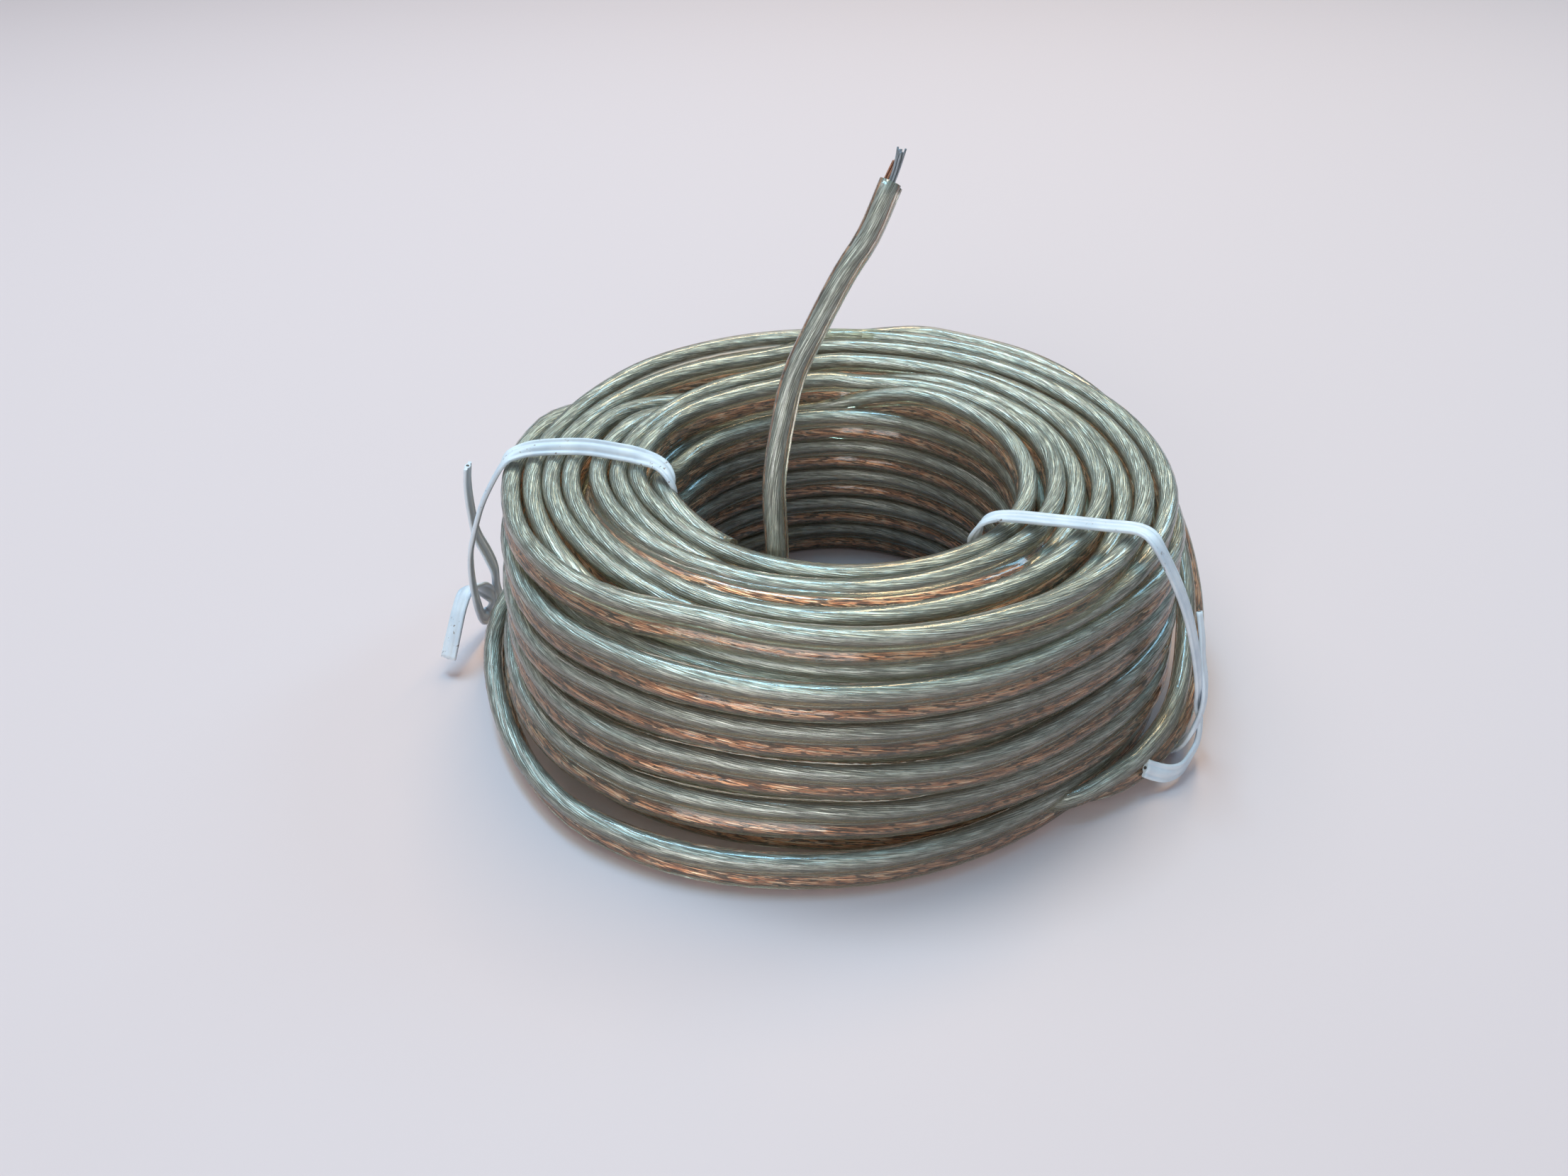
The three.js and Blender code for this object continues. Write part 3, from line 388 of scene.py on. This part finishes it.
# ---- meshes ----
def tube(name, points, width, normal, section, material):
    """A closed tube of one section along a line, riding on the root body.

    Its UVs run in millimetres along it, and from 0 to 1 round it.
    """
    section = np.array(section, float)
    count, sides = len(points), len(section)
    rings = (points[:, None, :] + normal[:, None, :] * section[None, :, :1]
             + width[:, None, :] * section[None, :, 1:])
    i = np.arange(count - 1)[:, None] * sides
    j = np.arange(sides)[None, :]
    k = (j + 1) % sides
    quads = np.stack([i + j, i + sides + j, i + sides + k, i + k], axis=-1).reshape(-1, 4)
    caps = [list(range(sides)), list(range((count - 1) * sides, count * sides))[::-1]]
    mesh = bpy.data.meshes.new(name)
    mesh.from_pydata(to_frame(rings.reshape(-1, 3)).tolist(), [], quads.tolist() + caps)
    mesh.validate()
    mesh.polygons.foreach_set("use_smooth", [True] * len(quads) + [False] * len(caps))

    reached = lengths(points)
    first, second = np.repeat(reached[:-1], sides), np.repeat(reached[1:], sides)
    low = np.tile(np.arange(sides) / sides, count - 1)
    high = np.tile((np.arange(sides) + 1) / sides, count - 1)
    corners = [np.stack(pair, 1) for pair in
               ((first, low), (second, low), (second, high), (first, high))]
    uv = np.zeros((len(mesh.loops), 2), np.float32)
    uv[:len(quads) * 4] = np.stack(corners, axis=1).reshape(-1, 2)
    mesh.uv_layers.new(name="UVMap").data.foreach_set("uv", uv.ravel())

    mesh.materials.append(material)
    made = bpy.data.objects.new(name, mesh)
    bpy.context.scene.collection.objects.link(made)
    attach(made, "root")
    return made


def lobe_section():
    """Outline of the flat cable: two round lobes and the web between them."""
    outline = []
    for side in (1, -1):
        for angle in np.linspace(-WEB_ANGLE, 180 + WEB_ANGLE, LOBE_POINTS):
            a = math.radians(angle)
            outline.append((side * CORE_RADIUS * math.cos(a),
                            side * (CORE_OFFSET + CORE_RADIUS * math.sin(a))))
    return outline


def tie_section():
    """Outline of a tie: a round rib along its middle, a groove and a beaded edge each side."""
    quarter = [(1.2, 0.0), (1.18, 0.14), (1.08, 0.23), (0.92, 0.25), (0.78, 0.21), (0.64, 0.17),
               (0.52, 0.19), (0.4, 0.28), (0.24, 0.35), (0.08, 0.37)]
    half = quarter + [(-across, thick) for across, thick in quarter[:0:-1]]
    return half + [(-across, -thick) for across, thick in half]


def round_section(radius, sides, height=0):
    """Outline of a round wire whose middle lies at height along the cable's width."""
    turns = [2 * math.pi * i / sides for i in range(sides)]
    return [(radius * math.cos(a), height + radius * math.sin(a)) for a in turns]


# ---- materials ----
class Shader:
    """A material's node tree, with short calls that add nodes and link them."""

    def __init__(self, name):
        self.material = bpy.data.materials.new(name)
        self.material.use_nodes = True
        self.tree = self.material.node_tree
        self.surface = self.tree.nodes["Principled BSDF"]
        self.output = self.tree.nodes["Material Output"]

    def add(self, kind, **settings):
        node = self.tree.nodes.new(kind)
        for key, value in settings.items():
            setattr(node, key, value)
        return node

    def link(self, source, target):
        self.tree.links.new(source, target)

    def set(self, **values):
        for name, value in values.items():
            self.surface.inputs[name.replace("_", " ")].default_value = value

    def math(self, operation, *values):
        node = self.add("ShaderNodeMath", operation=operation)
        for socket, value in zip(node.inputs, values):
            if isinstance(value, (int, float)):
                socket.default_value = value
            else:
                self.link(value, socket)
        return node.outputs[0]

    def ramp(self, value, stops):
        node = self.add("ShaderNodeValToRGB")
        while len(node.color_ramp.elements) < len(stops):
            node.color_ramp.elements.new(0.5)
        for element, (place, colour) in zip(node.color_ramp.elements, stops):
            element.position = place
            element.color = (*colour, 1)
        self.link(value, node.inputs["Fac"])
        return node.outputs["Color"]

    def mask(self, value, low, high):
        """Black below low, white above high."""
        return self.ramp(value, [(low, (0, 0, 0)), (high, (1, 1, 1))])

    def noise(self, vector, scale, detail=2.0, roughness=0.5):
        node = self.add("ShaderNodeTexNoise")
        node.inputs["Scale"].default_value = scale
        node.inputs["Detail"].default_value = detail
        node.inputs["Roughness"].default_value = roughness
        self.link(vector, node.inputs["Vector"])
        return node.outputs["Fac"]

    def uv(self):
        return self.add("ShaderNodeUVMap", uv_map="UVMap").outputs["UV"]

    def place(self):
        """The point in metres, which is the same in the object and in the row frame."""
        return self.add("ShaderNodeTexCoord").outputs["Object"]

    def paint(self, tone, share, colour):
        """The base colour: tone, covered by colour as far as share says."""
        mix = self.add("ShaderNodeMixRGB")
        mix.inputs["Color2"].default_value = (*colour, 1)
        self.link(share, mix.inputs["Fac"])
        self.link(tone, mix.inputs["Color1"])
        self.link(mix.outputs["Color"], self.surface.inputs["Base Color"])

    def bump(self, height, strength, distance):
        node = self.add("ShaderNodeBump")
        node.inputs["Strength"].default_value = strength
        node.inputs["Distance"].default_value = distance
        self.link(height, node.inputs["Height"])
        self.link(node.outputs["Normal"], self.surface.inputs["Normal"])


def clear_jacket():
    """Clear, faintly yellow-green plastic with lines drawn along it, and a light shadow."""
    s = Shader("clear_jacket")
    s.set(Base_Color=(0.92, 0.885, 0.73, 1), Roughness=0.10, IOR=1.5, Transmission_Weight=0.91)
    drawn = s.add("ShaderNodeMapping")
    drawn.inputs["Scale"].default_value = (0.16, 5.0, 1.0)
    s.link(s.uv(), drawn.inputs["Vector"])
    lines = s.noise(drawn.outputs["Vector"], scale=1.0, detail=4.0)
    s.bump(lines, strength=0.5, distance=0.0003)
    rays = s.add("ShaderNodeLightPath")
    shade = s.add("ShaderNodeBsdfTransparent")
    shade.inputs["Color"].default_value = (0.56, 0.55, 0.46, 1)
    mix = s.add("ShaderNodeMixShader")
    s.link(rays.outputs["Is Shadow Ray"], mix.inputs["Fac"])
    s.link(s.surface.outputs["BSDF"], mix.inputs[1])
    s.link(shade.outputs["BSDF"], mix.inputs[2])
    s.link(mix.outputs["Shader"], s.output.inputs["Surface"])
    return s.material


def stranded(name, tones, shade_and_blot_colour, gap_shade_depth, blot_depth, roughness):
    """Wire of many fine strands laid up in a long helix, with painted shade in the gaps between
    strands, and dark blots.
    """
    s = Shader(name)
    s.set(Metallic=1.0, Roughness=roughness)
    place = s.add("ShaderNodeSeparateXYZ")
    s.link(s.uv(), place.inputs["Vector"])
    along, around = place.outputs["X"], place.outputs["Y"]
    turn = s.math("MULTIPLY", s.math("ADD", around, s.math("DIVIDE", along, STRAND_PITCH)),
                  2 * math.pi)
    across, up = s.math("COSINE", turn), s.math("SINE", turn)

    def streaks(fineness, length, detail=2.0):
        """Noise drawn out along the helix, with length in millimetres."""
        vector = s.add("ShaderNodeCombineXYZ")
        s.link(s.math("MULTIPLY", across, fineness), vector.inputs["X"])
        s.link(s.math("MULTIPLY", up, fineness), vector.inputs["Y"])
        s.link(s.math("DIVIDE", along, length), vector.inputs["Z"])
        return s.noise(vector.outputs["Vector"], scale=1.0, detail=detail, roughness=0.6)

    wander = s.math("MULTIPLY", s.math("SUBTRACT", streaks(1.4, 9.0), 0.5), STRAND_WANDER)
    wave = s.math("SINE", s.math("ADD", s.math("MULTIPLY", turn, STRANDS_ROUND), wander))
    fine = s.math("SINE", s.math("SUBTRACT", s.math("MULTIPLY", turn, FINE_ROUND), wander))
    both = s.math("ADD", wave, s.math("MULTIPLY", fine, FINE_SHARE))
    # Painted shade: the colour darkens in the gaps between strands, deeper in some patches than in
    # others.
    patches = s.mask(streaks(2.6, 4.5), 0.40, 0.62)
    gap_shade = s.math("MULTIPLY", s.math("SMOOTH_MAX", both, 0.0, 0.4),
                 s.math("MULTIPLY_ADD", patches, gap_shade_depth, LEAST_GAP_SHADE))
    tone = s.ramp(streaks(3.4, 3.2, detail=3.0), tones)
    blots = s.mask(streaks(2.1, 2.2), 0.54, 0.58)
    # The painted shade between the strands and the dark blots share one darker colour.
    dark = s.math("MAXIMUM", s.math("MINIMUM", gap_shade, DARKEST_GAP_SHADE),
                  s.math("MULTIPLY", blots, blot_depth))
    s.paint(tone, dark, shade_and_blot_colour)
    s.bump(s.math("MULTIPLY", both, -1.0), strength=0.4, distance=0.00005)
    return s.material


def tie_plastic():
    """Bluish-white strip with faint marks along it and brown specks in places."""
    s = Shader("tie_plastic")
    s.set(Roughness=0.42)
    place = s.place()
    tone = s.ramp(s.noise(place, scale=260.0, detail=3.0),
                  [(0.35, (0.60, 0.67, 0.75)), (0.6, (0.75, 0.81, 0.87))])
    specks = s.mask(s.noise(place, scale=1500.0), 0.66, 0.71)
    where = s.mask(s.noise(place, scale=90.0, detail=1.0), 0.50, 0.60)
    s.paint(tone, s.math("MULTIPLY", s.math("MULTIPLY", specks, where), 0.8), (0.16, 0.09, 0.05))
    s.bump(s.noise(place, scale=700.0), strength=0.15, distance=0.0001)
    return s.material


def dark_wire():
    """Dull cut steel."""
    s = Shader("tie_wire")
    s.set(Roughness=0.5, Metallic=0.6)
    tone = s.ramp(s.noise(s.place(), scale=2000.0),
                  [(0.3, (0.05, 0.045, 0.045)), (0.7, (0.16, 0.15, 0.14))])
    s.link(tone, s.surface.inputs["Base Color"])
    return s.material


JACKET = clear_jacket()
# Each wire's darker colour paints both the shade between its strands and its dark blots.
TINNED = stranded(
    "tinned_wire",
    tones=[(0.38, (0.25, 0.27, 0.29)), (0.5, (0.47, 0.51, 0.54)), (0.62, (0.77, 0.83, 0.90))],
    shade_and_blot_colour=(0.05, 0.05, 0.045), gap_shade_depth=0.7, blot_depth=0.35, roughness=0.47)
COPPER = stranded(
    "copper_wire",
    tones=[(0.38, (0.12, 0.04, 0.025)), (0.45, (0.48, 0.17, 0.09)),
           (0.54, (0.92, 0.44, 0.26)), (0.65, (1.0, 0.78, 0.65))],
    shade_and_blot_colour=(0.045, 0.014, 0.01), gap_shade_depth=0.68, blot_depth=0.94, roughness=0.36)
TIE = tie_plastic()
TIE_WIRE = dark_wire()

# ---- pieces ----
tangent, width, normal = frames(line, widths)
jacket = tube("cable_jacket", line, width, normal, lobe_section(), JACKET)
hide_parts("winding", "core_ring", "free_end")

# Each conductor's metal, its side of the cable, its material and its slot.
CONDUCTORS = [("tinned", 1, TINNED, "tinned_wire"), ("copper", -1, COPPER, "copper_wire")]

along = lengths(line)
inside = along > TIP_CLEAR
for metal, side, material, slot in CONDUCTORS:
    conductor = tube(metal + "_conductor", line[inside], width[inside], normal[inside],
                     round_section(CONDUCTOR_RADIUS, CONDUCTOR_SIDES, side * CORE_OFFSET),
                     material)
    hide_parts("tip_conductor_" + metal)

for metal, side, material, slot in CONDUCTORS:
    reach, bend, shift = BARE_ENDS[metal]
    base = line[-1] + width[-1] * side * CORE_OFFSET * BARE_OFFSET + np.array(shift)
    for i in range(STRANDS_ABOUT + 1):
        angle = 2 * math.pi * i / STRANDS_ABOUT + STRAND_TURN
        about = normal[-1] * math.cos(angle) + width[-1] * math.sin(angle)
        spread = 0.0 if i == STRANDS_ABOUT else STRAND_SPREAD
        long = reach * (1 - STRAND_TRIM * ((i * 5) % 7) / 6)
        share = np.linspace(-STRAND_ROOT, 1, STRAND_POINTS)[:, None]
        tilt = np.array(bend) * share * share * long * STRAND_BEND
        unlike = 0.6 + 0.6 * math.sin(i * 2.1 + 1)
        loose = 1 + STRAND_OPENING * side * share * share * unlike
        points = base + tangent[-1] * share * long + tilt + about * spread * loose
        # The hint is a little off the strand's own side, so that no strand runs along it.
        _, out, aside = frames(points, np.tile(about + 0.01, (len(points), 1)))
        strand = tube(f"{metal}_end_{i + 1}", points, out, aside,
                      round_section(STRAND_RADIUS, WIRE_SIDES), material)
        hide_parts(f"{metal}_strand_{i + 1}")

for side, rows in TIE_LINES.items():
    placed = []
    for radius, azimuth, height, outward, sideways, upward in rows:
        c, s = math.cos(math.radians(azimuth)), math.sin(math.radians(azimuth))
        placed.append((radius * c, radius * s, height,
                       outward * c - sideways * s, outward * s + sideways * c, upward))
    dense = spline(placed, TIE_STEP)
    points = dense[:, :3]
    run, face, aside = frames(points, dense[:, 3:])
    strip = tube(side + "_tie_band", points, face, aside, tie_section(), TIE)
    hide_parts(side + "_tie_strip")
    points[0] -= run[0] * TIE_WIRE_PROUD
    points[-1] += run[-1] * TIE_WIRE_PROUD
    wire = tube(side + "_tie_core", points, face, aside,
                round_section(TIE_WIRE_RADIUS, WIRE_SIDES), TIE_WIRE)
    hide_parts(side + "_tie_wire")

# ---- floor and light ----
floor_mesh = bpy.data.meshes.new("floor")
floor_mesh.from_pydata([(x * FLOOR_REACH, y * FLOOR_REACH, 0)
                        for x, y in ((-1, -1), (1, -1), (1, 1), (-1, 1))], [], [(0, 1, 2, 3)])
floor = bpy.data.objects.new("floor", floor_mesh)
bpy.context.scene.collection.objects.link(floor)
floor_shader = Shader("floor")
floor_shader.set(Base_Color=(0.72, 0.60, 0.60, 1), Roughness=0.6)
floor_mesh.materials.append(floor_shader.material)

world = bpy.data.worlds.new("studio")
bpy.context.scene.world = world
world.use_nodes = True
background = world.node_tree.nodes["Background"]
background.inputs["Color"].default_value = WORLD_COLOUR
background.inputs["Strength"].default_value = WORLD_STRENGTH


def area_light(name, place, target, size, power, colour):
    """A rectangular light that faces its target."""
    data = bpy.data.lights.new(name, "AREA")
    data.shape = "RECTANGLE"
    data.size, data.size_y = size
    data.energy = power
    data.color = colour
    light = bpy.data.objects.new(name, data)
    bpy.context.scene.collection.objects.link(light)
    light.location = place
    light.rotation_mode = "QUATERNION"
    light.rotation_quaternion = (Vector(target) - Vector(place)).to_track_quat("-Z", "Y")


for light in LIGHTS:
    area_light(*light)
bpy.context.scene.view_settings.view_transform = "Standard"
